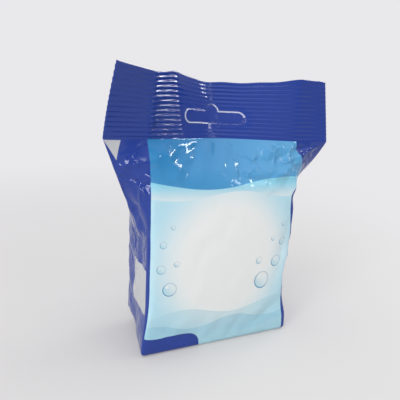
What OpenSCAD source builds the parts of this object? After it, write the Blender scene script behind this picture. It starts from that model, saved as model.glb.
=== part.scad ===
// Sealed film pouch of a water pitcher filter cartridge.
// A flow-wrap tube of printed film, crimped flat into a wide header with a
// hang slot at the top, filled out by its contents and folded flat at the base.
// The origin is the middle of the base, +Z is up and the front faces -Y.

/* [Filled body] */
// Width of the front panel between its upright edges
front_w = 108; // [96:1:120]
// Depth of the filled pouch from front to back
side_d = 52; // [44:1:60]
// Height of the header's foot above the base
body_h = 140; // [128:1:152]
// Half length of film that rounds each upright edge
edge_r = 6; // [3:0.5:9]
// The same at the base, where the film is creased
base_edge_r = 2; // [1:0.5:4]
// Height over which the crease opens into the round edge
edge_open_z = 45; // [20:1:70]
// Radius of the film where the walls turn under the base
base_r = 3; // [1.5:0.5:5]
// Swell of the front and back panels at their middle
panel_swell = 2.5; // [0:0.5:5]
// Draw-in of the right edge at the waist
waist_in = 5; // [0:0.5:8]
// Height of the waist
waist_z = 42; // [30:1:60]
// Height of the taper on each side of the waist
waist_reach = 38; // [20:1:50]
// How far the left edge stands out at the base
foot_out = 3.5; // [0:0.5:6]
// Height over which the left edge comes back in
foot_out_h = 36; // [20:1:60]

/* [Shoulders and ears] */
// Height at which the front panel starts to turn in to the header
front_shoulder_z = 108; // [90:1:120]
// Height at which the back panel starts to turn in to the header
back_shoulder_z = 96; // [80:1:115]
// Height at which the left ear runs out in the side
left_ear_z = 76; // [60:1:100]
// Height at which the right ear runs out in the side
right_ear_z = 104; // [70:1:115]

/* [Header] */
// Height of the crimped header
header_h = 40; // [30:1:50]
// Thickness of the welded films
seal_t = 1; // [0.6:0.1:1.5]
// Number of crimp ribs
rib_count = 14; // [8:1:16]
// Height of a rib from trough to crest
rib_depth = 1; // [0.4:0.1:1.6]
// How far the header's foot stands in front of the middle, at its middle
foot_fwd_mid = 4; // [0:1:12]
// How far the header's foot stands in front of the middle, at its edges
foot_fwd_edge = 17; // [8:1:22]
// Backward lean of the header at its middle, in degrees
lean_mid = 20; // [0:1:30]
// Backward lean of the header over the left edge, in degrees
lean_left = -18; // [-30:1:15]
// Backward lean of the header over the right edge, in degrees
lean_right = 2; // [-20:1:20]
// Forward turn of the header's left wing at its top, in degrees
turn_left = 26; // [0:1:30]
// Forward turn of the header's right wing at its top, in degrees
turn_right = -14; // [-25:1:15]
// Rise of the top left corner
corner_rise = 1; // [0:0.5:4]

/* [Creases] */
// Half width of a plain crease of the film
crease_w = 8; // [5:0.5:10]
// Height of a plain crease
crease_h = 1.5; // [0.5:0.1:2]
// Height over which the creases fade out at the header's foot and at the base
calm_h = 6; // [3:1:10]

/* [Hang slot] */
// Length of the die-cut slot, whose flap is still in place
slot_w = 46; // [34:1:50]
// How far the slot's middle lies to the left of the front panel's middle
slot_shift = 4; // [0:0.5:6]
// Height of the slot
slot_h = 8.5; // [7:0.5:12]
// Height of the slot's middle above the header's foot
slot_rise = 14.5; // [13:0.5:20]
// Radius of the half-round hump over the slot's middle
hump_r = 5; // [3:0.5:6]
// How far the flap's left half stands out of the slot
flap_out = 0.7; // [0:0.1:1.5]
// How far the flap's right half sits back in the slot
flap_set = 1.2; // [0.4:0.1:2]
// Half width of the stretch over which the flap passes from out to back
flap_turn = 8; // [4:1:16]
// Smooth border without ribs round the slot
slot_border = 6; // [3:0.5:9]

/* [Back seal and base] */
// Width of the lengthwise seal, laid flat on the back
fin_w = 11; // [8:0.5:14]
// Thickness of the lengthwise seal
fin_t = 0.8; // [0.4:0.1:1.4]
// Height of the fold that draws in the lower back corners
tuck_h = 12; // [6:1:18]
// Length of that fold along the back
tuck_w = 24; // [14:1:32]
// Depth of the base panel between its rim and the folded seal
base_recess = 0.8; // [0.4:0.1:1.5]
// Width of the seal folded flat under the base
base_seal_w = 15; // [10:1:20]

/* [Hidden] */

half_front = front_w / 2;
half_depth = side_d / 2;
half_film = half_front + half_depth;
rib_pitch = header_h / rib_count;
step_w = 0.6;

// Creases of the film: sheet (-1 front, 1 back), start and end as shares of the
// half front panel and of the body's height, then half width and height in
// plain creases, where a height below 0 makes a valley
CREASES = [
    // left side and ear
    [-1, -1.48, 0.76, -1.00, 0.56, 1.1, -1.6],
    [-1, -1.46, 0.87, -0.96, 0.91, 0.8, 1.0],
    [-1, -1.37, 0.84, -0.98, 0.81, 0.8, -1.1],
    [1, -1.48, 0.70, -1.00, 0.66, 1.1, -1.3],
    // gathers under the header, front
    [-1, -0.85, 1.00, -0.67, 0.84, 0.9, 1.0],
    [-1, -0.26, 1.00, -0.56, 0.84, 1.0, -0.8],
    [-1, 0.22, 0.99, 0.15, 0.84, 0.9, -0.7],
    [-1, 0.59, 1.00, 0.52, 0.83, 0.9, 0.9],
    [-1, 0.15, 0.83, 1.07, 0.80, 0.9, -1.0],
    // right shoulder and ear
    [-1, 0.74, 0.90, 1.48, 1.00, 0.8, 1.2],
    [-1, 0.85, 0.93, 1.15, 0.79, 0.8, -1.1],
    [-1, 1.48, 0.79, 1.00, 0.71, 1.1, -0.5],
    [1, 1.48, 0.79, 1.00, 0.66, 1.1, -0.5],
    // right edge and foot of the front panel
    [-1, 0.96, 0.71, 0.81, 0.43, 1.1, -0.8],
    [-1, -0.93, 0.14, -0.37, 0.04, 1.0, -0.7],
    [-1, 0.37, 0.06, 0.96, 0.19, 1.0, -0.8],
    // back panel
    [1, -0.56, 0.97, -1.00, 0.71, 1.1, 1.3],
    [1, 0.48, 0.97, 1.00, 0.73, 1.1, 1.3],
    [1, -0.22, 0.96, -0.81, 0.80, 1.0, -0.9],
    [1, 0.26, 0.96, 0.78, 0.83, 1.0, -0.9],
    [1, -0.85, 0.21, -0.37, 0.07, 1.0, -0.8],
    [1, 0.85, 0.24, 0.41, 0.06, 1.0, -0.8]
];

function clamp01(t) = min(1, max(0, t));
function mix(low, high, t) = low + (high - low) * t;
function ease(t) = t * t * (3 - 2 * t);
function side_of(a) = a < 0 ? -1 : 1;

// Film position a runs from -half_film to half_film across a sheet.
// The share of the side is 0 on the panel and 1 at the ear's fold, and it
// rises smoothly over the rounded edge.
function soft_ramp(x, r) = x <= -r ? 0 : x >= r ? x : (x + r) * (x + r) / (4 * r);
function side_share(a, r) = soft_ramp(abs(a) - half_front, r) / half_depth;
function panel_part(a, r) = abs(a) - half_depth * side_share(a, r);

// Plane in which the two sheets meet at the header's foot
function foot_y(a) =
    -mix(foot_fwd_mid, foot_fwd_edge, ease(clamp01(abs(a) / half_front)));

// Crease height at a film position and height
function crease(c, a, z) =
    let(
        start = [c[1] * half_front, c[2] * body_h],
        run = [c[3] * half_front, c[4] * body_h] - start,
        off = [a, z] - start,
        t = clamp01((off * run) / (run * run)),
        gap = norm(off - t * run) / (c[5] * crease_w)
    )
    c[6] * crease_h * ease(clamp01(1 - gap));
function creases(sheet, a, z) =
    let(hits = [for (c = CREASES) if (c[0] == sheet) crease(c, a, z)])
    len(hits) == 0 ? 0 : hits * [for (h = hits) 1];

// The lengthwise seal stands on the back from the middle line to one side
function fin(sheet, a) =
    sheet > 0 && a > -step_w / 2 && a < fin_w + step_w / 2 ? fin_t : 0;

// One point of the filled body
function body_point(sheet, a, z) =
    let(
        s = side_of(a),
        r = mix(base_edge_r, edge_r, clamp01(z / edge_open_z)),
        q = side_share(a, r),
        p = panel_part(a, r),
        ear_z = a < 0 ? left_ear_z : right_ear_z,
        ear = clamp01((z - ear_z) / (body_h - ear_z)),
        shoulder = sheet < 0 ? front_shoulder_z : back_shoulder_z,
        full = sin(90 * clamp01((body_h - z) / (body_h - shoulder))),
        dip = max(0, base_r - z),
        inset = base_r - sqrt(base_r * base_r - dip * dip),
        bell = ease(clamp01(1 - abs(z - waist_z) / waist_reach)),
        foot = ease(clamp01(1 - z / foot_out_h)),
        edge_x = half_front - inset - (a > 0 ? waist_in * bell : 0),
        corner_x = edge_x + (a < 0 && sheet < 0 ? foot_out * foot : 0),
        across = 1 - pow(p / half_front, 2),
        swell = panel_swell * across * sin(180 * clamp01(z / body_h)),
        flat_y = foot_y(a) + sheet * seal_t / 2,
        panel_y = mix(flat_y, sheet * (half_depth - inset + swell), full),
        fold_x = edge_x + half_depth * ear,
        fold_y = mix(0, foot_y(a), ear) + sheet * seal_t / 2,
        tuck = sheet > 0
            ? clamp01(1 - z / tuck_h) * (1 - q) * clamp01((p - half_front + tuck_w) / tuck_w)
            : 0,
        calm = clamp01((body_h - z) / calm_h) * clamp01(z / calm_h) * (1 - ear * q * q),
        lift = creases(sheet, a, z) * calm + fin(sheet, a) * clamp01(z / base_r)
    )
    [
        s * (p * corner_x / half_front + q * (fold_x - corner_x)
            - tuck * tuck_w / 2 + lift * sin(90 * q)),
        mix(panel_y, fold_y, q) - tuck * half_depth / 2 + sheet * lift * cos(90 * q),
        z
    ];

// Distance outside the slot's outline, a round-ended bar with a half-round hump
function slot_gap(a, w) =
    let(
        x = a + slot_shift,
        y = w - slot_rise,
        bar = norm([max(0, abs(x) - (slot_w - slot_h) / 2), y]) - slot_h / 2,
        hump = norm([x, min(0, y) + max(0, y - slot_h / 2)]) - hump_r
    )
    min(bar, hump);

// The flap inside the outline stands out on its left and sits back on its right
function flap(a, w) =
    let(back = ease(clamp01((a + slot_shift + flap_turn) / (2 * flap_turn))))
    slot_gap(a, w) > 0 ? 0 : mix(-flap_out, flap_set, back);

// One point of the header, w above its foot; row_side sets trough or crest
function header_point(sheet, a, w, row_side) =
    let(
        s = side_of(a),
        q = side_share(a, edge_r),
        reach = clamp01(abs(a) / half_front),
        lean = mix(lean_mid, a < 0 ? lean_left : lean_right, reach * reach),
        turn = (a < 0 ? turn_left : turn_right) * w / header_h,
        rise = a < 0 ? corner_rise * q * w / header_h : 0,
        rib = slot_gap(a, w) < slot_border ? 0 : row_side * rib_depth / 2,
        off = sheet * seal_t / 2 + rib + flap(a, w) + fin(sheet, a)
    )
    [
        s * (panel_part(a, edge_r) + half_depth * q * cos(turn) + off * sin(turn) * q),
        foot_y(a) + w * sin(lean) - half_depth * q * sin(turn) + off * cos(lean),
        body_h + w * cos(lean) + rise - off * sin(lean)
    ];

// Film positions of the grid's columns, closer at the edges, seals and slot
function fill(low, high, steps) =
    [for (i = [0 : steps - 1]) mix(low, high, i / steps)];
function sorted(list) =
    len(list) < 2 ? list :
    let(
        mid = list[0],
        rest = [for (i = [1 : len(list) - 1]) list[i]]
    )
    concat(sorted([for (v = rest) if (v < mid) v]), [mid], sorted([for (v = rest) if (v >= mid) v]));
function spaced(list) =
    [for (i = [0 : len(list) - 1]) if (i == 0 || list[i] - list[i - 1] > step_w / 2) list[i]];
function edge_columns(slot_end) = concat(
    fill(slot_end, half_front - edge_r, 5),
    fill(half_front - edge_r, half_front + edge_r, 4),
    fill(half_front + edge_r, half_film, 4),
    [half_film]
);
slot_right = slot_w / 2 - slot_shift;
slot_left = slot_w / 2 + slot_shift;
SLOT_END_INSETS = [step_w, 0.24 * slot_h, slot_h / 2];
SLOT_COLUMNS = spaced(sorted(concat(
    [for (inset = SLOT_END_INSETS) each [inset - slot_left, slot_right - inset]],
    [for (end = [-1, 1]) each [end * hump_r - slot_shift, end * (hump_r + step_w) - slot_shift]],
    [-step_w, 0, fin_w, fin_w + step_w]
)));
LEFT_COLUMNS = edge_columns(slot_left);
COLUMNS = concat(
    [for (i = [len(LEFT_COLUMNS) - 1 : -1 : 0]) -LEFT_COLUMNS[i]],
    SLOT_COLUMNS,
    edge_columns(slot_right)
);
column_count = len(COLUMNS);
ring_count = 2 * column_count;

// Heights of the grid's rows in the body
BODY_ROWS = concat(
    [for (i = [0 : 3]) base_r * (1 - cos(90 * i / 3.5))],
    fill(base_r + step_w, left_ear_z, 16),
    fill(left_ear_z, body_h, 18)
);

// A ring runs along the front sheet and back along the back sheet
function ring_sheet(i) = i < column_count ? -1 : 1;
function ring_a(i) = i < column_count ? COLUMNS[i] : COLUMNS[ring_count - 1 - i];
function body_ring(z) =
    [for (i = [0 : ring_count - 1]) body_point(ring_sheet(i), ring_a(i), z)];
function header_ring(w, row_side) =
    [for (i = [0 : ring_count - 1]) header_point(ring_sheet(i), ring_a(i), w, row_side)];

// Base rings: rim, recessed panel and the folded seal, as shares of the outline
seal_share = base_seal_w / side_d;
BASE_RINGS = [
    [0.91, seal_share, 0],
    [0.92, seal_share + 0.05, base_recess],
    [0.95, 0.88, base_recess],
    [0.96, 0.92, 0]
];
function base_ring(r) = [for (p = body_ring(0)) [p[0] * r[0], p[1] * r[1], r[2]]];

RINGS = concat(
    [for (r = BASE_RINGS) base_ring(r)],
    [for (z = BODY_ROWS) body_ring(z)],
    [header_ring(0, 0)],
    [for (j = [1 : 2 * rib_count - 1]) header_ring(j * rib_pitch / 2, j % 2 == 0 ? -1 : 1)],
    [header_ring(header_h, 0)]
);
ring_total = len(RINGS);

// The skin: a fan at the base, bands between rings and the header's top edge
module film_pouch() {
    at_ring = function (k, i) 1 + k * ring_count + (i + ring_count) % ring_count;
    points = concat([[0, 0, 0]], [for (ring = RINGS) each ring]);
    base = [for (i = [0 : ring_count - 1]) [0, at_ring(0, i), at_ring(0, i + 1)]];
    bands = [
        for (k = [0 : ring_total - 2], i = [0 : ring_count - 1])
            each [
                [at_ring(k, i), at_ring(k + 1, i), at_ring(k + 1, i + 1)],
                [at_ring(k, i), at_ring(k + 1, i + 1), at_ring(k, i + 1)]
            ]
    ];
    last = ring_total - 1;
    top = [
        for (i = [0 : column_count - 2])
            each [
                [at_ring(last, i), at_ring(last, ring_count - 1 - i), at_ring(last, i + 1)],
                [at_ring(last, i + 1), at_ring(last, ring_count - 1 - i), at_ring(last, ring_count - 2 - i)]
            ]
    ];
    color([0.2, 0.28, 0.59]) polyhedron(points, concat(base, bands, top), convexity = 8);
}

film_pouch();
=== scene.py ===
"""The looks of a sealed film pouch that holds a water pitcher filter cartridge.

The pouch is one tube of glossy printed film. It is crimped flat into a wide
header with a die-cut hang slot, gathered over its contents, and folded flat
under the base. Lengths are in millimetres, and a mesh gets them in metres.
A point of the film is given by its sheet, by its position a across the sheet,
from the left fold at -80 to the right fold at 80, and by its height z in the
body or w in the header.
"""

import logging
import math
from dataclasses import dataclass, field
from enum import Enum
from typing import Sequence

import bmesh
import bpy
import numpy as np
from mathutils import Matrix, Quaternion, Vector


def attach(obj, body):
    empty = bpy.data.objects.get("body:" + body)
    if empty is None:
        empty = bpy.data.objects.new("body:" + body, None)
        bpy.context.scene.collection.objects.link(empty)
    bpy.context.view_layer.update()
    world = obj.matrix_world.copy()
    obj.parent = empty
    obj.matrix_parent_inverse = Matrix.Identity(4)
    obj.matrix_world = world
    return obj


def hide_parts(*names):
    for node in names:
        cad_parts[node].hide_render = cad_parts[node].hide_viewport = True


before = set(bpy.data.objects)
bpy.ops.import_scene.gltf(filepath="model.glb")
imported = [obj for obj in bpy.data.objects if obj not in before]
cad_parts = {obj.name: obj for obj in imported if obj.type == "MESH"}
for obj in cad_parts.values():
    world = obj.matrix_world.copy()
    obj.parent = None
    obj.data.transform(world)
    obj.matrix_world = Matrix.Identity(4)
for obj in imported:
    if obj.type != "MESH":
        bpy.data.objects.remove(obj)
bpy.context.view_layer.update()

LOG = logging.getLogger("pouch")
MM = 0.001
NODE = "film_pouch"
UV_NAME = "Film"
Array = np.ndarray
Socket = bpy.types.NodeSocket
Rgb = tuple[int, int, int]
Rgba = tuple[float, float, float, float]
Span = tuple[float, float]


class Sheet(Enum):
    """The two sheets of the flattened film tube."""

    FRONT = -1
    BACK = 1


@dataclass(frozen=True)
class PouchSizes:
    """Sizes of the pouch in millimetres and degrees, as the part's source has them."""

    front_w: float = 108.0
    side_d: float = 52.0
    body_h: float = 140.0
    edge_r: float = 6.0
    base_edge_r: float = 2.0
    edge_open_z: float = 45.0
    base_r: float = 3.0
    panel_swell: float = 2.5
    waist_in: float = 5.0
    waist_z: float = 42.0
    waist_reach: float = 38.0
    foot_out: float = 3.5
    foot_out_h: float = 36.0
    front_shoulder_z: float = 108.0
    back_shoulder_z: float = 96.0
    left_ear_z: float = 76.0
    right_ear_z: float = 104.0
    header_h: float = 40.0
    seal_t: float = 0.5
    rib_count: int = 14
    rib_depth: float = 0.85
    foot_fwd_mid: float = 4.0
    foot_fwd_edge: float = 17.0
    lean_mid: float = 20.0
    lean_left: float = -18.0
    lean_right: float = 2.0
    turn_left: float = 26.0
    turn_right: float = -14.0
    corner_rise: float = 1.0
    slot_w: float = 46.0
    slot_shift: float = 4.0
    slot_h: float = 8.5
    slot_rise: float = 14.5
    hump_r: float = 5.0
    slot_border: float = 6.0
    fin_w: float = 11.0
    fin_t: float = 0.7
    tuck_h: float = 12.0
    tuck_w: float = 24.0
    base_recess: float = 0.8
    base_seal_w: float = 15.0

    @property
    def half_front(self) -> float:
        """Half the front panel's width."""
        return self.front_w / 2

    @property
    def half_depth(self) -> float:
        """Half the filled pouch's depth."""
        return self.side_d / 2

    @property
    def half_film(self) -> float:
        """Half the width of one flat sheet."""
        return self.half_front + self.half_depth

    @property
    def girth(self) -> float:
        """The film's whole way round the tube."""
        return 4 * self.half_film

    @property
    def total_h(self) -> float:
        """Height of the film from base to top edge."""
        return self.body_h + self.header_h


def clamp01(t: Array) -> Array:
    """Keeps values between 0 and 1."""
    return np.clip(t, 0.0, 1.0)


def mix(low: Array, high: Array, share: Array) -> Array:
    """Blends from low to high by a share."""
    return low + (high - low) * share


def ease(t: Array) -> Array:
    """A smooth step of a value between 0 and 1."""
    return t * t * (3 - 2 * t)


def rise_from(low: float, high: float, t: Array) -> Array:
    """Gives 0 at low and 1 at high, with a smooth rise between them."""
    return ease(clamp01((t - low) / (high - low)))


@dataclass(frozen=True)
class Crease:
    """One fold line of the film, from a start to an end given as (a, height)."""

    start: Span
    end: Span
    half_width: float
    depth: float
    sharp: float = 0.7

    def height(self, a: Array, z: Array) -> Array:
        """Gives the fold's lift at points of its sheet.

        Args:
            a: positions across the sheet.
            z: heights of the same points.

        Returns:
            The lift in millimetres, outwards where the depth is above 0.
        """
        run = np.array(self.end) - np.array(self.start)
        off_a, off_z = a - self.start[0], z - self.start[1]
        along = clamp01((off_a * run[0] + off_z * run[1]) / float(run @ run))
        gap = np.hypot(off_a - along * run[0], off_z - along * run[1]) / self.half_width
        near = np.clip(1 - gap, 0, None)
        soft = near * near * (3 - 2 * near)
        fade = np.sin(np.pi * (0.12 + 0.76 * along))
        return self.depth * fade * mix(soft, near**1.6, self.sharp)


MAIN_CREASES: dict[Sheet, tuple[Crease, ...]] = {
    Sheet.FRONT: (
        Crease((-80, 106), (-54, 79), 9, -2.5),
        Crease((-79, 122), (-52, 128), 6, 1.6, 1.0),
        Crease((-74, 117), (-53, 113), 6, -2.2, 1.0),
        Crease((-46, 140), (-36, 118), 7, 1.2),
        Crease((-14, 140), (-30, 118), 8, -0.8),
        Crease((12, 138), (8, 117), 7, -0.8),
        Crease((32, 140), (28, 116), 7, 1.3),
        Crease((40, 126), (80, 138), 3.5, 1.7, 1.0),
        Crease((8, 116), (58, 112), 7, -1.5),
        Crease((46, 130), (62, 110), 6, -1.6),
        Crease((52, 100), (44, 60), 9, -1.2),
        Crease((-50, 20), (-20, 6), 8, -1.0),
        Crease((20, 8), (52, 26), 8, -1.2),
        Crease((80, 110), (54, 100), 9, -0.8),
    ),
    Sheet.BACK: (
        Crease((-80, 98), (-54, 92), 9, -2.0),
        Crease((-30, 136), (-54, 100), 9, 2.0),
        Crease((26, 136), (54, 102), 9, 2.0),
        Crease((-12, 134), (-44, 112), 8, -1.4),
        Crease((14, 134), (42, 116), 8, -1.4),
        Crease((80, 110), (54, 92), 9, -0.8),
        Crease((-46, 30), (-20, 10), 8, -1.2),
        Crease((46, 34), (22, 8), 8, -1.2),
    ),
}

SMALL_CREASES: tuple[Crease, ...] = (
    Crease((-70, 120), (-60, 115), 3.2, 0.9, 1.0),
    Crease((-66, 112), (-54, 117), 3.0, 0.9, 1.0),
    Crease((-54, 139), (-48, 130), 3.0, 0.7, 1.0),
    Crease((-44, 132), (-33, 121), 3.6, 0.9, 1.0),
    Crease((8, 124), (7, 117), 2.5, -0.7, 1.0),
    Crease((7, 117), (30, 114), 3.0, -0.8, 1.0),
    Crease((30, 138), (24, 126), 2.6, 0.6, 1.0),
    Crease((36, 137), (33, 122), 2.6, 0.6, 1.0),
    Crease((33, 121), (50, 116), 3.0, 0.8, 1.0),
    Crease((44, 122), (56, 128), 2.8, 0.8, 1.0),
    Crease((50, 134), (66, 137), 2.4, -0.7, 1.0),
    Crease((48, 112), (58, 120), 2.6, -0.7, 1.0),
    Crease((47, 98), (50, 84), 2.6, -0.6, 1.0),
    Crease((-78, 96), (-66, 70), 3.5, 0.9, 1.0),
    Crease((-72, 66), (-56, 60), 3.5, -0.7, 1.0),
    Crease((-54, 40), (-40, 30), 3.0, 0.4, 1.0),
    Crease((28, 22), (50, 12), 3.0, 0.5, 1.0),
)


@dataclass(frozen=True)
class Patch:
    """A stretch of one sheet where the film is crumpled."""

    middle: Span
    reach: Span
    strength: float

    def share(self, a: Array, z: Array) -> Array:
        """Gives the patch's strength, which fades out over its reach."""
        off_a, off_z = (a - self.middle[0]) / self.reach[0], (z - self.middle[1]) / self.reach[1]
        return self.strength * ease(clamp01(1.4 - np.hypot(off_a, off_z)))


@dataclass(frozen=True)
class Facets:
    """Crumpled film: flat facets between random heights on a bent lattice."""

    seed: int
    cell: Span
    turn: float
    depth: float
    warp: float

    def height(self, a: Array, z: Array) -> Array:
        """Gives the lift of the facets, smoothed over a little of the film.

        Args:
            a: positions across the sheet.
            z: heights of the same points.

        Returns:
            The lift in millimetres, inwards or outwards.
        """
        rng = np.random.default_rng(self.seed)
        heights = rng.uniform(-1, 1, (64, 64))
        phase = rng.uniform(0, 2 * np.pi, 4)
        step = 0.35
        total = np.zeros_like(a)
        for off_a, off_z in ((-step, -step), (-step, step), (step, -step), (step, step)):
            total += self.lattice(a + off_a, z + off_z, heights, phase)
        return self.depth * total / 4

    def lattice(self, a: Array, z: Array, heights: Array, phase: Array) -> Array:
        """Blends the heights of the lattice's corners over its triangles."""
        bent_a = a + self.warp * (np.sin(z / 9 + phase[0]) + 0.5 * np.sin((a + z) / 5 + phase[1]))
        bent_z = z + self.warp * (np.sin(a / 11 + phase[2]) + 0.5 * np.sin((a - z) / 6 + phase[3]))
        turn = math.radians(self.turn)
        u = (bent_a * math.cos(turn) + bent_z * math.sin(turn)) / self.cell[0]
        v = (bent_z * math.cos(turn) - bent_a * math.sin(turn)) / self.cell[1]
        u = u + v / 2
        i, j = np.floor(u).astype(int), np.floor(v).astype(int)
        along, up = u - i, v - j
        corner = [[heights[(i + m) % 64, (j + n) % 64] for n in (0, 1)] for m in (0, 1)]
        low = corner[0][0] + (corner[1][0] - corner[0][0]) * along
        low += (corner[1][1] - corner[1][0]) * up
        high = corner[0][0] + (corner[0][1] - corner[0][0]) * up
        high += (corner[1][1] - corner[0][1]) * along
        return np.where(along > up, low, high)


@dataclass
class Crumple:
    """The crumpled look of both sheets: facets of two sizes, in patches."""

    patches: dict[Sheet, tuple[Patch, ...]] = field(
        default_factory=lambda: {
            Sheet.FRONT: (
                Patch((0, 132), (70, 12), 0.55),
                Patch((44, 124), (32, 20), 1.0),
                Patch((-42, 128), (14, 14), 0.6),
                Patch((-67, 100), (16, 30), 0.6),
                Patch((-68, 50), (14, 46), 0.6),
                Patch((56, 60), (12, 56), 0.55),
                Patch((0, 8), (70, 16), 0.3),
                Patch((0, 70), (70, 70), 0.08),
            ),
            Sheet.BACK: (
                Patch((0, 122), (90, 24), 0.85),
                Patch((-66, 60), (20, 60), 0.7),
                Patch((66, 60), (20, 60), 0.7),
                Patch((0, 50), (70, 70), 0.3),
            ),
        }
    )
    coarse: Facets = Facets(seed=11, cell=(15, 7), turn=68, depth=1.9, warp=2.0)
    fine: Facets = Facets(seed=5, cell=(6.5, 4), turn=35, depth=0.6, warp=1.5)

    def height(self, sheet: Sheet, a: Array, z: Array) -> Array:
        """Gives the crumple's lift at points of one sheet."""
        share = sum(patch.share(a, z) for patch in self.patches[sheet])
        shift = 200.0 * (sheet is Sheet.BACK)
        lift = self.coarse.height(a + shift, z) + self.fine.height(a + shift, z)
        return lift * np.minimum(share, 1.3)


@dataclass(frozen=True)
class HangSlot:
    """The die-cut hang slot: a round-ended bar with a half-round hump on it."""

    sizes: PouchSizes
    kerf: float = 0.1
    bridge: float = 1.6
    bridges: tuple[float, ...] = (0.02, 0.3, 0.5, 0.64, 0.86)

    def gap(self, a: Array, w: Array) -> Array:
        """Gives the distance outside the slot's outline, below 0 inside it."""
        d = self.sizes
        x, y = a + d.slot_shift, w - d.slot_rise
        over = np.maximum(0.0, np.abs(x) - (d.slot_w - d.slot_h) / 2)
        bar = np.hypot(over, y) - d.slot_h / 2
        hump = np.hypot(x, np.minimum(0.0, y) + np.maximum(0.0, y - d.slot_h / 2)) - d.hump_r
        return np.minimum(bar, hump)

    def outline(self, steps: int = 10) -> Array:
        """Lists the points of the outline, all the way round from its lower left."""
        d = self.sizes
        half, low = (d.slot_w - d.slot_h) / 2, d.slot_h / 2
        up = math.pi / 2
        points = [np.linspace((-half, -low), (half, -low), 4 * steps)]
        points.append(self.arc((half, 0), low, -up, up, 2 * steps))
        points.append(np.linspace((half, low), (d.hump_r, low), 2 * steps)[1:-1])
        points.append(self.arc((0, low), d.hump_r, 0, math.pi, 2 * steps))
        points.append(np.linspace((-d.hump_r, low), (-half, low), 2 * steps)[1:-1])
        points.append(self.arc((-half, 0), low, up, 3 * up, 2 * steps)[:-1])
        return np.concatenate(points) + np.array([-d.slot_shift, d.slot_rise])

    @staticmethod
    def arc(middle: Span, radius: float, start: float, end: float, steps: int) -> Array:
        """Lists the points of an arc."""
        angle = np.linspace(start, end, steps)
        return np.array(middle) + radius * np.stack([np.cos(angle), np.sin(angle)], -1)

    def cuts(self) -> list[Array]:
        """Lists the stretches of the outline that are cut, between its bridges."""
        points = self.outline()
        step = np.linalg.norm(np.roll(points, -1, 0) - points, axis=1)
        place = np.concatenate([[0.0], np.cumsum(step)])
        total = place[-1]
        closed = np.concatenate([points, points[:1]])
        runs = []
        edges = [share * total for share in self.bridges]
        for start, end in zip(edges, [*edges[1:], edges[0] + total]):
            low, high = start + self.bridge / 2, end - self.bridge / 2
            at = np.linspace(low, high, max(3, int((high - low) / 0.7)))
            line = [np.interp(at % total, place, closed[:, k]) for k in (0, 1)]
            runs.append(np.stack(line, -1))
        return runs


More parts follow.
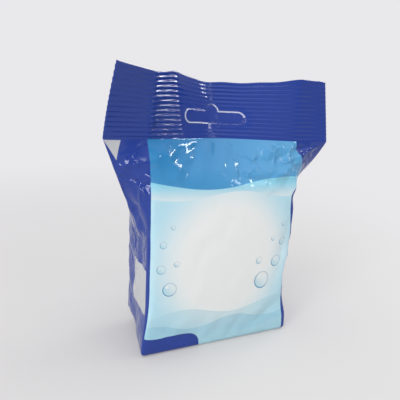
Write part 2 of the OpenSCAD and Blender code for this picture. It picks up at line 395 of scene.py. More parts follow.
@dataclass
class PouchForm:
    """The film's surface, as functions of sheet, position across it and height."""

    sizes: PouchSizes = field(default_factory=PouchSizes)
    crumple: Crumple = field(default_factory=Crumple)
    slot_facets: Facets = Facets(seed=3, cell=(9, 6), turn=50, depth=0.9, warp=1.5)
    rib_facets: Facets = Facets(seed=8, cell=(6, 4), turn=80, depth=0.5, warp=1.0)

    @property
    def slot(self) -> HangSlot:
        """The hang slot of this pouch."""
        return HangSlot(self.sizes)

    def side_share(self, a: Array, radius: Array) -> Array:
        """Gives how far a point has gone round from the panel to the ear's fold."""
        x = np.abs(a) - self.sizes.half_front
        bend = (x + radius) ** 2 / (4 * radius)
        ramp = np.where(x <= -radius, 0.0, np.where(x >= radius, x, bend))
        return ramp / self.sizes.half_depth

    def foot_y(self, a: Array) -> Array:
        """Gives the depth at which the sheets meet at the header's foot."""
        reach = ease(clamp01(np.abs(a) / self.sizes.half_front))
        return -mix(self.sizes.foot_fwd_mid, self.sizes.foot_fwd_edge, reach)

    def lift(self, sheet: Sheet, a: Array, z: Array) -> Array:
        """Adds up the folds and the crumple at points of one sheet."""
        total = self.crumple.height(sheet, a, z)
        small = SMALL_CREASES if sheet is Sheet.FRONT else ()
        for fold in (*MAIN_CREASES[sheet], *small):
            total += fold.height(a, z)
        return total

    def fin(self, sheet: Sheet, a: Array) -> Array:
        """Gives the lift of the lengthwise seal that lies flat on the back."""
        if sheet is Sheet.FRONT:
            return np.zeros_like(a)
        edge = 0.5
        inside = np.minimum(a + edge, self.sizes.fin_w - a + edge) / (2 * edge)
        return self.sizes.fin_t * clamp01(inside)

    def body(self, sheet: Sheet, a: Array, z: Array) -> Array:
        """Gives points of the filled body.

        Args:
            sheet: the sheet that the points are on.
            a: positions across the sheet.
            z: heights above the base, up to the header's foot.

        Returns:
            An array with x, y, z for each point.
        """
        d = self.sizes
        face = sheet.value
        sign = np.where(a < 0, -1.0, 1.0)
        radius = mix(d.base_edge_r, d.edge_r, clamp01(z / d.edge_open_z))
        q = self.side_share(a, radius)
        p = np.abs(a) - d.half_depth * q
        ear_z = np.where(a < 0, d.left_ear_z, d.right_ear_z)
        ear = clamp01((z - ear_z) / (d.body_h - ear_z)) ** np.where(a < 0, 1.0, 0.6)
        shoulder = d.front_shoulder_z if sheet is Sheet.FRONT else d.back_shoulder_z
        full = np.sin(np.pi / 2 * clamp01((d.body_h - z) / (d.body_h - shoulder)))
        dip = np.maximum(0.0, d.base_r - z)
        inset = d.base_r - np.sqrt(np.maximum(0.0, d.base_r**2 - dip * dip))
        bell = ease(clamp01(1 - np.abs(z - d.waist_z) / d.waist_reach))
        foot = ease(clamp01(1 - z / d.foot_out_h))
        neck = ease(clamp01(1 - np.abs(z - 102) / 30))
        edge_x = d.half_front - inset - np.where(a > 0, d.waist_in * bell + 2.2 * neck, 0.0)
        out = d.foot_out * foot if sheet is Sheet.FRONT else 0.0 * foot
        corner_x = edge_x + np.where(a < 0, out, 0.0)
        across = 1 - (p / d.half_front) ** 2
        swell = d.panel_swell * across * np.sin(np.pi * clamp01(z / d.body_h))
        flat_y = self.foot_y(a) + face * d.seal_t / 2
        panel_y = mix(flat_y, face * (d.half_depth - inset + swell), full)
        fold_x = edge_x + d.half_depth * ear
        fold_y = mix(0.0, self.foot_y(a), ear) + face * d.seal_t / 2
        tuck = np.zeros_like(a)
        if sheet is Sheet.BACK:
            share = clamp01((p - d.half_front + d.tuck_w) / d.tuck_w)
            tuck = clamp01(1 - z / d.tuck_h) * (1 - q) * share
        calm = clamp01((d.body_h - z) / 5) * clamp01(z / 5) * (1 - ear * q * q)
        lift = self.lift(sheet, a, z) * calm + self.fin(sheet, a) * clamp01(z / 2)
        x = sign * (
            p * corner_x / d.half_front
            + q * (fold_x - corner_x)
            - tuck * d.tuck_w / 2
            + lift * np.sin(np.pi / 2 * q)
        )
        y = mix(panel_y, fold_y, q) - tuck * d.half_depth / 2
        y += face * lift * np.cos(np.pi / 2 * q)
        return np.stack([x, y, z], -1)

    def header_lift(self, a: Array, w: Array) -> Array:
        """Gives the forward lift of the crimped seal: ribs, the slot's flap, waves.

        Args:
            a: positions across the sheet.
            w: heights above the header's foot.

        Returns:
            The lift in millimetres, backwards where above 0.
        """
        d = self.sizes
        outside = self.slot.gap(a, w)
        calm = rise_from(0.2 * d.slot_border, d.slot_border, outside)
        wing = rise_from(-d.half_front - 1, -d.half_front + 1, a)
        strong = 1 - rise_from(-34, -29, a + 0.15 * (w - d.slot_rise))
        ear = rise_from(d.half_front - 8, d.half_front, a)
        quiet = wing * (1 - strong) * (1 - rise_from(-12, 0, a))
        power = 0.5 + 0.6 * wing * strong - 0.36 * quiet - 0.3 * ear
        wobble = 0.5 * np.sin(a / 17) + 0.25 * np.sin(a / 6.5 + 1)
        phase = (w + 0.25 * wobble) / d.header_h * d.rib_count
        ends = clamp01(w / 1.5) * clamp01((d.header_h - w) / 1.5)
        rib = d.rib_depth / 2 * np.sin(2 * np.pi * phase) * power * calm * ends
        back = rise_from(-16, 8, a)
        flap = mix(-0.7, 1.0, back) * clamp01(-outside / 0.8 + 0.5)
        near = ease(clamp01(1 - np.abs(outside) / 9)) * ends
        crumple = self.slot_facets.height(a, w) * 0.5 * near
        crumple += self.rib_facets.height(a, w) * wing * strong * ends
        edge_line = 0.9 * np.exp(-(((a + d.half_front - 1.5) / 1.3) ** 2))
        return rib + flap + crumple - edge_line * ends

    def header(self, sheet: Sheet, a: Array, w: Array) -> Array:
        """Gives points of the crimped header.

        Args:
            sheet: the sheet that the points are on.
            a: positions across the sheet.
            w: heights above the header's foot, along the film.

        Returns:
            An array with x, y, z for each point.
        """
        d = self.sizes
        sign = np.where(a < 0, -1.0, 1.0)
        q = self.side_share(a, d.edge_r)
        p = np.abs(a) - d.half_depth * q
        reach = clamp01(np.abs(a) / d.half_front) ** 2
        lean = np.radians(mix(d.lean_mid, np.where(a < 0, d.lean_left, d.lean_right), reach))
        turn = np.radians(np.where(a < 0, d.turn_left, d.turn_right) * w / d.header_h)
        rise = np.where(a < 0, d.corner_rise * q * w / d.header_h, 0.0)
        top = (w / d.header_h) ** 4
        dip = 1.6 * np.exp(-(((a + 45) / 7) ** 2)) + 0.8 * rise_from(-40, -10, a)
        corner = 2.4 * rise_from(18, 66, a) + 1.2 * (1 - rise_from(-80, -60, a))
        rise = rise + top * (corner - dip + 0.3 * np.sin(a / 8) + 0.25 * np.sin(a / 3.7))
        off = sheet.value * d.seal_t / 2 + self.header_lift(a, w) + self.fin(sheet, a)
        x = sign * (p + d.half_depth * q * np.cos(turn) + off * np.sin(turn) * q)
        y = self.foot_y(a) + w * np.sin(lean) - d.half_depth * q * np.sin(turn)
        y += off * np.cos(lean)
        z = d.body_h + w * np.cos(lean) + rise - off * np.sin(lean)
        return np.stack([x, y, z], -1)


@dataclass
class FilmPouch:
    """The pouch's skin: a fine grid over both sheets, closed at top and base."""

    form: PouchForm = field(default_factory=PouchForm)
    columns: int = 180
    wall_rows: int = 72
    shoulder_rows: int = 66
    rows_per_rib: int = 7

    def sheet_positions(self) -> Array:
        """Gives the column positions across one sheet, from fold to fold."""
        return np.linspace(-self.form.sizes.half_film, self.form.sizes.half_film, self.columns)

    def rings(self) -> tuple[Array, list[float]]:
        """Works out the rings above the base.

        Returns:
            The points, ring by ring, each along the front sheet and back along
            the back sheet, and the film height of each ring.
        """
        d = self.form.sizes
        turn = [d.base_r * (1 - math.cos(math.pi / 2 * i / 5)) for i in range(5)]
        low = np.linspace(d.base_r, d.back_shoulder_z, self.wall_rows)[:-1]
        high = np.linspace(d.back_shoulder_z, d.body_h, self.shoulder_rows)[:-1]
        body = np.array([*turn, *low, *high])
        header = np.linspace(0, d.header_h, d.rib_count * self.rows_per_rib + 1)
        parts = []
        for place, heights in ((self.form.body, body), (self.form.header, header)):
            level, a = np.meshgrid(heights, self.sheet_positions(), indexing="ij")
            front, back = place(Sheet.FRONT, a, level), place(Sheet.BACK, a, level)
            parts.append(np.concatenate([front, back[:, ::-1]], axis=1))
        return np.concatenate(parts), [*body, *(header + d.body_h)]

    def base_profile(self) -> list[tuple[float, float, float]]:
        """Lists the base's rings as shares of its outline and their height."""
        d = self.form.sizes
        seal = d.base_seal_w / d.side_d
        flat = [(0.3 + 0.6 * i / 4, seal * (0.15 + 0.8 * i / 4), 0.0) for i in range(4)]
        wall = [(0.91, seal, 0.0), (0.92, seal + 0.05, d.base_recess)]
        rim = [(0.93, 0.6, d.base_recess), (0.95, 0.88, d.base_recess), (0.96, 0.92, 0.0)]
        return flat + wall + rim

    def build(self) -> bpy.types.Object:
        """Builds the skin with its film coordinates as a UV map.

        Returns:
            The finished object, at the origin.
        """
        upper, levels = self.rings()
        profile = self.base_profile()
        base = np.stack([upper[0] * (sx, sy, 0) + (0, 0, z) for sx, sy, z in profile])
        rings = np.concatenate([base, upper])
        points = np.concatenate([np.zeros((1, 3)), rings.reshape(-1, 3)])
        levels = [k - 1.0 - len(profile) for k in range(len(profile))] + levels
        faces, uvs = self.skin(rings.shape[1], levels)
        mesh = bpy.data.meshes.new(NODE)
        mesh.from_pydata((points * MM).tolist(), [], faces)
        layer = mesh.uv_layers.new(name=UV_NAME)
        layer.data.foreach_set("uv", np.array(uvs, np.float32).ravel())
        pouch = bpy.data.objects.new("pouch_film", mesh)
        bpy.context.scene.collection.objects.link(pouch)
        self.cut_slot(pouch)
        for polygon in pouch.data.polygons:
            polygon.use_smooth = True
        return pouch

    def skin(
        self, count: int, levels: Sequence[float]
    ) -> tuple[list[tuple[int, ...]], list[Span]]:
        """Joins the rings into faces.

        Args:
            count: points in each ring.
            levels: film height of each ring, base rings first.

        Returns:
            The faces and, for each face corner, its film coordinates.
        """
        d = self.form.sizes
        half = count // 2
        step = 2 * d.half_film / (half - 1)
        front = [i * step / d.girth for i in range(half)]
        around = front + [0.5 + share for share in front]
        faces: list[tuple[int, ...]] = []
        uvs: list[Span] = []
        for i in range(count):
            faces.append((0, 1 + i, 1 + (i + 1) % count))
            uvs += [(around[i], levels[0] / d.total_h)] * 3
        for k in range(len(levels) - 1):
            low, high = levels[k] / d.total_h, levels[k + 1] / d.total_h
            first, second = 1 + k * count, 1 + (k + 1) * count
            for i in range(count):
                j = (i + 1) % count
                start, end = around[i], around[j] if j else 1.0
                faces.append((first + i, second + i, second + j, first + j))
                uvs += [(start, low), (start, high), (end, high), (end, low)]
        last = 1 + (len(levels) - 1) * count
        for i in range(half - 1):
            back = count - 1 - i
            faces.append((last + i, last + back, last + back - 1, last + i + 1))
            uvs += [(around[i], 1.0)] * 2 + [(around[i + 1], 1.0)] * 2
        return faces, uvs

    def cut_slot(self, pouch: bpy.types.Object) -> None:
        """Cuts the hang slot's outline through the header.

        Args:
            pouch: the skin to cut.
        """
        cutters = [self.slot_cutter(run) for run in self.form.slot.cuts()]
        bpy.ops.object.select_all(action="DESELECT")
        for cutter in cutters:
            cutter.select_set(True)
        bpy.context.view_layer.objects.active = cutters[0]
        bpy.ops.object.join()
        cutter = bpy.context.active_object
        bpy.ops.object.select_all(action="DESELECT")
        bpy.context.view_layer.objects.active = pouch
        cut = pouch.modifiers.new("slot", "BOOLEAN")
        cut.operation = "DIFFERENCE"
        cut.solver = "MANIFOLD"
        cut.object = cutter
        bpy.ops.object.modifier_apply(modifier=cut.name)
        bpy.data.objects.remove(cutter)

    def slot_cutter(self, run: Array) -> bpy.types.Object:
        """Makes a thin blade that follows one stretch of the slot's outline."""
        half = self.form.slot.kerf / 2
        way = np.gradient(run, axis=0)
        way /= np.linalg.norm(way, axis=1)[:, None]
        side = np.stack([way[:, 1], -way[:, 0]], -1) * half
        corners = []
        for sheet, sign in ((Sheet.FRONT, -1), (Sheet.BACK, -1), (Sheet.BACK, 1), (Sheet.FRONT, 1)):
            at = run + sign * side
            reach = np.array([0, sheet.value * 3.0, 0])
            corners.append(self.form.header(sheet, at[:, 0], at[:, 1]) + reach)
        points = np.stack(corners, 1).reshape(-1, 3) * MM
        count = len(run)
        faces = [(0, 1, 2, 3), tuple(4 * (count - 1) + k for k in (3, 2, 1, 0))]
        for i in range(count - 1):
            for k in range(4):
                n = (k + 1) % 4
                faces.append((4 * i + k, 4 * i + 4 + k, 4 * i + 4 + n, 4 * i + n))
        mesh = bpy.data.meshes.new("slot_cutter")
        mesh.from_pydata(points.tolist(), [], faces)
        grid = bmesh.new()
        grid.from_mesh(mesh)
        bmesh.ops.recalc_face_normals(grid, faces=grid.faces)
        grid.to_mesh(mesh)
        grid.free()
        cutter = bpy.data.objects.new("slot_cutter", mesh)
        bpy.context.scene.collection.objects.link(cutter)
        return cutter


class NodeTree:
    """Small helpers to wire a shader tree."""

    def __init__(self, tree: bpy.types.NodeTree) -> None:
        """Keeps the tree that the helpers add to."""
        self.tree = tree

    def add(self, kind: str, **values: object) -> bpy.types.Node:
        """Adds a node and sets its properties."""
        node = self.tree.nodes.new(kind)
        for name, value in values.items():
            setattr(node, name, value)
        return node

    def feed(self, socket: Socket, value: object) -> None:
        """Links a socket to another, or sets its plain value."""
        if isinstance(value, Socket):
            self.tree.links.new(value, socket)
        else:
            socket.default_value = value

    def math(self, operation: str, *values: object) -> Socket:
        """Adds a Math node and returns its result."""
        node = self.add("ShaderNodeMath", operation=operation)
        for socket, value in zip(node.inputs, values):
            self.feed(socket, value)
        return node.outputs[0]

    def step(self, value: object, low: object, high: object) -> Socket:
        """Gives 0 at low and 1 at high, with a smooth rise between them."""
        node = self.add("ShaderNodeMapRange", interpolation_type="SMOOTHSTEP")
        for name, part in (("Value", value), ("From Min", low), ("From Max", high)):
            self.feed(node.inputs[name], part)
        return node.outputs["Result"]

    def blend(self, share: object, low: object, high: object) -> Socket:
        """Mixes two colours by a share."""
        node = self.add("ShaderNodeMix", data_type="RGBA")
        for index, value in ((0, share), (6, low), (7, high)):
            self.feed(node.inputs[index], value)
        return node.outputs[2]

    def length(self, x: object, y: object) -> Socket:
        """Gives the length of a flat vector."""
        squares = [self.math("MULTIPLY", part, part) for part in (x, y)]
        return self.math("SQRT", self.math("ADD", *squares))

    def wave(self, across: Socket, level: float, swing: float, period: float, at: float) -> Socket:
        """Gives the height of a wavy line, whose crest is at a given place."""
        angle = self.math("MULTIPLY", self.math("SUBTRACT", across, at), 2 * math.pi / period)
        return self.math("MULTIPLY_ADD", self.math("COSINE", angle), swing, level)


def linear(rgb: Rgb) -> Rgba:
    """Turns a display colour of 0 to 255 into a linear one with full alpha."""
    shares = (value / 255 for value in rgb)
    parts = [c / 12.92 if c <= 0.04045 else ((c + 0.055) / 1.055) ** 2.4 for c in shares]
    return (*parts, 1.0)


@dataclass(frozen=True)
class PrintColours:
    """Display colours of the print, and of the painted highlight on the slot's cut edge, from 0 to 255."""

    royal: Rgb = (28, 57, 141)
    band: Rgb = (24, 120, 178)
    band_light: Rgb = (84, 154, 200)
    ribbon: Rgb = (132, 200, 222)
    aqua: Rgb = (176, 215, 228)
    white: Rgb = (226, 229, 227)
    wave: Rgb = (166, 206, 218)
    wave_deep: Rgb = (126, 184, 206)
    rim: Rgb = (46, 128, 172)
    label: Rgb = (184, 186, 190)
    # edge is the painted highlight along the hang slot's cut, not a print colour
    edge: Rgb = (206, 210, 232)


@dataclass(frozen=True)
class Bubble:
    """A printed bubble: its middle as (a, height) and its radius."""

    middle: Span
    radius: float


BUBBLES = (
    Bubble((31.0, 44.0), 6.5),
    Bubble((41.5, 57.0), 4.2),
    Bubble((26.0, 59.0), 2.6),
    Bubble((44.0, 71.0), 2.8),
    Bubble((35.0, 74.0), 1.7),
    Bubble((43.5, 84.0), 1.9),
    Bubble((-40.0, 46.0), 4.8),
    Bubble((-46.0, 60.0), 3.0),
    Bubble((-36.0, 63.0), 2.0),
    Bubble((-45.0, 76.0), 2.3),
    Bubble((-39.0, 87.0), 1.5),
)


@dataclass(frozen=True)
class FilmFinish:
    """Glossy printed film: fields of colour, waves and bubbles."""

    sizes: PouchSizes
    colours: PrintColours = PrintColours()
    blur: float = 0.25

    def paint(self, name: str) -> Rgba:
        """Gives a print colour for a shader."""
        return linear(getattr(self.colours, name))

    def material(self) -> bpy.types.Material:
        """Builds the film's material.

        Returns:
            A material that reads the film coordinates and Object coordinates.
        """
        material = bpy.data.materials.new("printed_film")
        material.use_nodes = True
        tree = NodeTree(material.node_tree)
        shader = material.node_tree.nodes["Principled BSDF"]
        across, height, side = self.film_place(tree)
        front = self.front_print(tree, across, height)
        royal = tree.blend(self.label_mask(tree, side, height), self.paint("royal"), self.paint("label"))
        colour = tree.blend(self.front_mask(tree, across, height), royal, front)
        # paints a highlight along the hang slot's cut edge
        colour = tree.blend(self.cut_glint_mask(tree, across, height), colour, self.paint("edge"))
        tree.feed(shader.inputs["Base Color"], colour)
        shader.inputs["Roughness"].default_value = 0.12
        shader.inputs["IOR"].default_value = 1.46
        tree.feed(shader.inputs["Normal"], self.crinkle(tree, across, height, side))
        return material

    def film_place(self, tree: NodeTree) -> tuple[Socket, Socket, Socket]:
        """Reads the film coordinates.

        Args:
            tree: the tree to add to.

        Returns:
            Position across the front sheet, height, and position from the left fold.
        """
        d = self.sizes
        uv = tree.add("ShaderNodeUVMap", uv_map=UV_NAME)
        split = tree.add("ShaderNodeSeparateXYZ")
        tree.feed(split.inputs[0], uv.outputs[0])
        round_tube = tree.math("MULTIPLY", split.outputs[0], d.girth)
        across = tree.math("SUBTRACT", round_tube, d.half_film)
        height = tree.math("MULTIPLY", split.outputs[1], d.total_h)
        side = tree.math("WRAP", round_tube, d.girth / 2, -d.girth / 2)
        return across, height, side

    def front_mask(self, tree: NodeTree, across: Socket, height: Socket) -> Socket:
        """Masks the front panel below the header."""
        d = self.sizes
        gather = tree.math("MULTIPLY", tree.step(height, 103.0, 114.0), tree.step(height, 136.0, 120.0))
        edge = tree.wave(height, d.half_front - 2.2, -1.8, 84.0, 97.0)
        edge = tree.math("MULTIPLY_ADD", gather, 9.0, edge)
        right = tree.math("SUBTRACT", across, edge)
        left = tree.math("SUBTRACT", -d.half_front, across)
        inside = tree.step(tree.math("MAXIMUM", left, right), self.blur, -self.blur)
        below = tree.step(height, d.body_h + self.blur, d.body_h - self.blur)
        return tree.math("MULTIPLY", inside, below)

    def below(self, tree: NodeTree, height: Socket, line: object) -> Socket:
        """Masks what lies below a line, with a crisp edge."""
        return tree.step(tree.math("SUBTRACT", height, line), self.blur, -self.blur)

    def front_print(self, tree: NodeTree, across: Socket, height: Socket) -> Socket:
        """Paints the front panel.

        Args:
            tree: the tree to add to.
            across: position across the front sheet.
            height: height along the film.

        Returns:
            The colour at each point.
        """
        up = tree.math("MULTIPLY", tree.math("SUBTRACT", height, 62.0), 0.9)
        glow = tree.step(tree.length(across, up), 58.0, 30.0)
        ground = tree.blend(glow, self.paint("aqua"), self.paint("white"))
        ground = self.low_waves(tree, ground, across, height)
        ground = self.bubbles(tree, ground, across, height)
        ribbon_low = tree.wave(across, 106.0, 2.6, 84.0, 6.0)
        ribbon = self.below(tree, height, ribbon_low)
        fade = tree.step(height, 98.0, 116.0)
        pale = tree.blend(fade, self.paint("white"), self.paint("ribbon"))
        ground = tree.blend(ribbon, pale, ground)
        edge = tree.wave(across, 113.5, 3.4, 118.0, 44.0)
        band = tree.blend(tree.step(across, -50.0, 50.0), self.paint("band"), self.paint("band_light"))
        depth = tree.step(height, 142.0, 112.0)
        band = tree.blend(tree.math("MULTIPLY", depth, 0.45), band, self.paint("band_light"))
        ground = tree.blend(self.below(tree, height, edge), band, ground)
        return tree.blend(self.tab_mask(tree, across, height), ground, self.paint("royal"))

    def tab_mask(self, tree: NodeTree, across: Socket, height: Socket) -> Socket:
        """Masks the bare tab at the foot's left corner, round at its right end."""
        line = tree.math("MULTIPLY_ADD", across, -0.1, tree.wave(across, 8.2, 0.9, 44.0, -24.0))
        up = tree.math("SUBTRACT", height, tree.math("SUBTRACT", line, 7.0))
        out = tree.math("ADD", across, 16.0 + 7.0)
        reach = tree.length(tree.math("MAXIMUM", up, 0.0), tree.math("MAXIMUM", out, 0.0))
        return tree.step(reach, 7.0 + self.blur, 7.0 - self.blur)

    def low_waves(self, tree: NodeTree, ground: Socket, across: Socket, height: Socket) -> Socket:
        """Lays three wave ribbons over the foot of the front panel."""
        waves = (
            (tree.wave(across, 27.0, 3.2, 74.0, -30.0), "wave", 0.5),
            (tree.wave(across, 18.0, 2.8, 58.0, 8.0), "wave_deep", 0.42),
            (tree.wave(across, 9.0, 2.4, 66.0, -14.0), "wave", 0.7),
        )
        for line, colour, strength in waves:
            share = tree.math("MULTIPLY", self.below(tree, height, line), strength)
            ground = tree.blend(share, ground, self.paint(colour))
        return ground

    def bubbles(self, tree: NodeTree, ground: Socket, across: Socket, height: Socket) -> Socket:
        """Lays the bubbles, each one a copy of a node group."""
        group = self.bubble_group()
        for bubble in BUBBLES:
            node = tree.add("ShaderNodeGroup", node_tree=group)
            values = (ground, across, height, *bubble.middle, bubble.radius)
            for socket, value in zip(node.inputs, values):
                tree.feed(socket, value)
            ground = node.outputs[0]
        return ground

    def bubble_group(self) -> bpy.types.NodeTree:
        """Builds the node group of a bubble: a thin rim, a pale inside, a glint."""
        group = bpy.data.node_groups.new("bubble", "ShaderNodeTree")
        new_socket = group.interface.new_socket
        new_socket("Ground", in_out="INPUT", socket_type="NodeSocketColor")
        for name in ("Across", "Height", "Middle Across", "Middle Height", "Radius"):
            new_socket(name, in_out="INPUT", socket_type="NodeSocketFloat")
        new_socket("Colour", in_out="OUTPUT", socket_type="NodeSocketColor")
        tree = NodeTree(group)
        given = tree.add("NodeGroupInput").outputs
        x = tree.math("SUBTRACT", given["Across"], given["Middle Across"])
        y = tree.math("SUBTRACT", given["Height"], given["Middle Height"])
        reach = tree.math("DIVIDE", tree.length(x, y), given["Radius"])
        rim = tree.step(tree.math("ABSOLUTE", tree.math("SUBTRACT", reach, 0.93)), 0.1, 0.04)
        inside = tree.step(reach, 0.98, 0.9)
        shade = tree.step(tree.math("DIVIDE", tree.math("ADD", x, y), given["Radius"]), 0.7, -1.2)
        body = tree.math("MULTIPLY", inside, tree.math("MULTIPLY", shade, 0.7))
        colour = tree.blend(body, given["Ground"], self.paint("wave"))
        dim = tree.math("MULTIPLY_ADD", shade, 0.5, 0.35)
        colour = tree.blend(tree.math("MULTIPLY", rim, dim), colour, self.paint("rim"))
        off_x = tree.math("MULTIPLY_ADD", given["Radius"], 0.38, x)
        off_y = tree.math("MULTIPLY_ADD", given["Radius"], -0.38, y)
        glint = tree.math("DIVIDE", tree.length(off_x, off_y), given["Radius"])
        colour = tree.blend(tree.step(glint, 0.24, 0.14), colour, self.paint("white"))
        tree.feed(tree.add("NodeGroupOutput").inputs[0], colour)
        return group

    def box_mask(self, tree: NodeTree, x: Socket, y: Socket, low: Span, high: Span) -> Socket:
        """Masks a plain box between two corners."""
        gaps = []
        for value, start, end in ((x, low[0], high[0]), (y, low[1], high[1])):
            off = tree.math("SUBTRACT", value, (start + end) / 2)
            gaps.append(tree.math("SUBTRACT", tree.math("ABSOLUTE", off), (end - start) / 2))
        return tree.step(tree.math("MAXIMUM", *gaps), self.blur, -self.blur)

    def label_mask(self, tree: NodeTree, side: Socket, height: Socket) -> Socket:
        """Masks the two bare pale fields on the left side."""
        low = self.box_mask(tree, side, height, (-8, 27), (21, 58))
        down = tree.math("SUBTRACT", 139.0, height)
        middle = tree.math("MULTIPLY_ADD", down, -0.1, 5.0)
        half = tree.math("MULTIPLY_ADD", down, -0.42, 5.0)
        off = tree.math("ABSOLUTE", tree.math("SUBTRACT", side, middle))
        top = tree.step(tree.math("SUBTRACT", off, half), self.blur, -self.blur)
        top = tree.math("MULTIPLY", top, tree.step(down, -self.blur, self.blur))
        return tree.math("MAXIMUM", low, top)

    def cut_glint_mask(self, tree: NodeTree, across: Socket, height: Socket) -> Socket:
        """Masks a painted highlight along the hang slot's cut edge, stronger in places where the cut would catch the
        light.
        """
        d = self.sizes
        x = tree.math("ADD", across, d.slot_shift)
        y = tree.math("SUBTRACT", height, d.body_h + d.slot_rise)
        over = tree.math("SUBTRACT", tree.math("ABSOLUTE", x), (d.slot_w - d.slot_h) / 2)
        bar = tree.length(tree.math("MAXIMUM", over, 0.0), y)
        bar = tree.math("SUBTRACT", bar, d.slot_h / 2)
        above = tree.math("MAXIMUM", tree.math("SUBTRACT", y, d.slot_h / 2), 0.0)
        hump = tree.math("SUBTRACT", tree.length(x, tree.math("ADD", above, tree.math("MINIMUM", y, 0.0))), d.hump_r)
        gap = tree.math("ABSOLUTE", tree.math("MINIMUM", bar, hump))
        # a thin painted highlight line along the cut, kept to the lower left, the upper right and the left end
        line = tree.step(gap, 0.5, 0.25)
        diagonal = tree.step(tree.math("MULTIPLY", x, y), 6.0, 22.0)
        end = tree.step(x, -18.5, -20.5)
        return tree.math("MULTIPLY", line, tree.math("MAXIMUM", diagonal, end))

    def crease_mask(self, tree: NodeTree, across: Socket, height: Socket, side: Socket) -> Socket:
        """Masks where the film is full of sharp little creases."""
        shoulder = tree.step(height, 104.0, 124.0)
        shoulder = tree.math("MULTIPLY", shoulder, tree.step(across, -20.0, 34.0))
        flank = tree.step(tree.math("ABSOLUTE", side), 27.0, 23.0)
        flank = tree.math("MULTIPLY", flank, tree.step(height, 30.0, 90.0))
        both = tree.math("MAXIMUM", shoulder, flank)
        return tree.math("MULTIPLY", both, tree.step(height, self.sizes.body_h, 136.0))

    def crinkle(self, tree: NodeTree, across: Socket, height: Socket, side: Socket) -> Socket:
        """Makes the film's fine unevenness and its little creases as a bump.

        Args:
            tree: the tree to add to.
            across: position across the front sheet.
            height: height along the film.
            side: position from the left fold.

        Returns:
            The bumped normal.
        """
        place = tree.add("ShaderNodeTexCoord").outputs["Object"]
        soft = tree.add("ShaderNodeTexNoise")
        tree.feed(soft.inputs["Vector"], place)
        soft.inputs["Scale"].default_value = 60.0
        soft.inputs["Detail"].default_value = 2.0
        facets = tree.add("ShaderNodeTexVoronoi", feature="SMOOTH_F1")
        tree.feed(facets.inputs["Vector"], place)
        facets.inputs["Scale"].default_value = 110.0
        facets.inputs["Smoothness"].default_value = 0.25
        rough = tree.math("MULTIPLY_ADD", facets.outputs["Distance"], 0.3, soft.outputs[0])
        bent = tree.add("ShaderNodeVectorMath", operation="MULTIPLY_ADD")
        tree.feed(bent.inputs[0], soft.outputs["Color"])
        bent.inputs[1].default_value = (0.012, 0.012, 0.012)
        tree.feed(bent.inputs[2], place)
        edges = tree.add("ShaderNodeTexVoronoi", feature="DISTANCE_TO_EDGE")
        tree.feed(edges.inputs["Vector"], bent.outputs[0])
        edges.inputs["Scale"].default_value = 75.0
        ridge = tree.step(edges.outputs["Distance"], 0.14, 0.0)
        ridge = tree.math("MULTIPLY", ridge, tree.step(soft.outputs[0], 0.42, 0.62))
        ridge = tree.math("MULTIPLY", ridge, self.crease_mask(tree, across, height, side))
        bump = tree.add("ShaderNodeBump")
        bump.inputs["Strength"].default_value = 0.4
        bump.inputs["Distance"].default_value = 0.0008
        tree.feed(bump.inputs["Height"], tree.math("MULTIPLY_ADD", ridge, 3.0, rough))
        return bump.outputs["Normal"]


@dataclass(frozen=True)
class PhotoView:
    """The photograph's camera: where it stands and how it is turned."""

    place: tuple[float, float, float] = (-122.0, -247.0, 160.0)
    yaw: float = 24.4
    pitch: float = 13.1
    roll: float = 3.07
    lens: float = 36.0
    sensor: float = 36.0

    def build(self) -> bpy.types.Object:
        """Adds the camera and makes it the scene's own."""
        yaw, pitch, roll = (math.radians(v) for v in (self.yaw, self.pitch, self.roll))
        forward = Vector(
            (
                math.sin(yaw) * math.cos(pitch),
                math.cos(yaw) * math.cos(pitch),
                -math.sin(pitch),
            )
        )
        level = forward.cross(Vector((0, 0, 1))).normalized()
        upright = level.cross(forward)
        right = math.cos(roll) * level + math.sin(roll) * upright
        up = -math.sin(roll) * level + math.cos(roll) * upright
        turn = Matrix((right, up, -forward)).transposed().to_4x4()
        data = bpy.data.cameras.new("photo_view")
        data.lens = self.lens
        data.sensor_width = self.sensor
        data.clip_start = 0.01
        camera = bpy.data.objects.new("photo_view", data)
        camera.matrix_world = Matrix.Translation(Vector(self.place) * MM) @ turn
        bpy.context.scene.collection.objects.link(camera)
        bpy.context.scene.camera = camera
        return camera


@dataclass(frozen=True)
class SoftBox:
    """A soft light aimed at the pouch: its place in metres, width, height, power."""

    name: str
    place: tuple[float, float, float]
    size: Span
    watts: float
    turn: float = 0.0
    aim: tuple[float, float, float] = (0.0, 0.0, 0.1)

    def build(self) -> bpy.types.Object:
        """Adds the light."""
        data = bpy.data.lights.new(self.name, "AREA")
        data.shape = "RECTANGLE"
        data.size, data.size_y = self.size
        data.energy = self.watts
        light = bpy.data.objects.new(self.name, data)
        way = Vector(self.aim) - Vector(self.place)
        turn = Quaternion((0, 0, 1), math.radians(self.turn))
        light.rotation_euler = (way.to_track_quat("-Z", "Y") @ turn).to_euler()
        light.location = self.place
        bpy.context.scene.collection.objects.link(light)
        return light


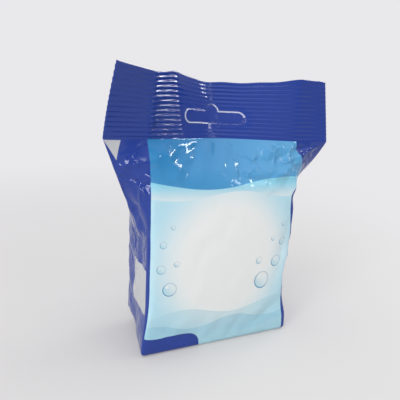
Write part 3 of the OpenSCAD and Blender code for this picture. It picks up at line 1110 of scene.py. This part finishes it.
@dataclass(frozen=True)
class Studio:
    """The plain pale floor and backdrop with soft light."""

    floor_colour: Rgb = (203, 202, 200)
    backdrop: Rgb = (233, 232, 235)
    dome: Span = (0.48, 1.4)
    floor_size: float = 30.0
    lights: tuple[SoftBox, ...] = (
        SoftBox("strip_light", (1.03, 0.145, 0.76), (1.15, 0.05), 5.4, -25.0),
        SoftBox("left_light", (-0.85, -0.53, 0.26), (0.25, 0.45), 3.7),
        SoftBox("key_light", (-0.6, -0.5, 0.95), (0.5, 0.5), 3.0),
        SoftBox("high_light", (0.72, -0.75, 0.66), (0.16, 0.16), 0.8),
    )

    def build(self) -> None:
        """Adds the world, the lights and the floor."""
        self.world()
        for light in self.lights:
            light.build()
        self.floor()

    def world(self) -> None:
        """Makes an even dome of light that the camera sees as the backdrop."""
        world = bpy.data.worlds.new("studio")
        world.use_nodes = True
        tree = NodeTree(world.node_tree)
        ground = world.node_tree.nodes["Background"]
        seen = tree.add("ShaderNodeLightPath").outputs["Is Camera Ray"]
        tree.feed(ground.inputs["Color"], linear(self.backdrop))
        way = tree.add("ShaderNodeSeparateXYZ")
        tree.feed(way.inputs[0], tree.add("ShaderNodeTexCoord").outputs["Generated"])
        low, high = self.dome
        light = tree.math("MULTIPLY_ADD", tree.step(way.outputs[2], 0.35, 0.95), high - low, low)
        strength = tree.math("MAXIMUM", tree.math("MULTIPLY", tree.math("SUBTRACT", 1.0, seen), light), seen)
        tree.feed(ground.inputs["Strength"], strength)
        bpy.context.scene.world = world

    def floor(self) -> bpy.types.Object:
        """Adds a floor that fades into the backdrop with distance."""
        bpy.ops.object.select_all(action="DESELECT")
        bpy.ops.mesh.primitive_plane_add(size=self.floor_size, location=(0, 0, 0))
        floor = bpy.context.active_object
        floor.name = "floor"
        material = bpy.data.materials.new("pale_floor")
        material.use_nodes = True
        tree = NodeTree(material.node_tree)
        shader = material.node_tree.nodes["Principled BSDF"]
        output = material.node_tree.nodes["Material Output"]
        shader.inputs["Base Color"].default_value = linear(self.floor_colour)
        shader.inputs["Roughness"].default_value = 0.7
        glow = tree.add("ShaderNodeEmission")
        glow.inputs["Color"].default_value = linear(self.backdrop)
        place = tree.add("ShaderNodeTexCoord")
        split = tree.add("ShaderNodeSeparateXYZ")
        tree.feed(split.inputs[0], place.outputs["Object"])
        away = tree.length(split.outputs[0], split.outputs[1])
        fade = tree.add("ShaderNodeMixShader")
        far = tree.step(away, 0.0, 0.85)
        tree.feed(fade.inputs[0], tree.math("MULTIPLY_ADD", far, 0.8, 0.2))
        tree.feed(fade.inputs[1], shader.outputs[0])
        tree.feed(fade.inputs[2], glow.outputs[0])
        tree.feed(output.inputs["Surface"], fade.outputs[0])
        floor.data.materials.append(material)
        return floor


def main() -> None:
    """Builds the studio and the pouch, and reports each piece."""
    logging.basicConfig(level=logging.INFO)
    bpy.context.scene.view_settings.view_transform = "Standard"
    PhotoView().build()
    Studio().build()
    LOG.info("studio is set")

    pouch = FilmPouch()
    skin = pouch.build()
    skin.data.materials.clear()
    skin.data.materials.append(FilmFinish(pouch.form.sizes).material())
    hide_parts(NODE)
    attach(skin, "root")
    LOG.info("%s has %d faces", skin.name, len(skin.data.polygons))


if __name__ == "__main__":
    main()
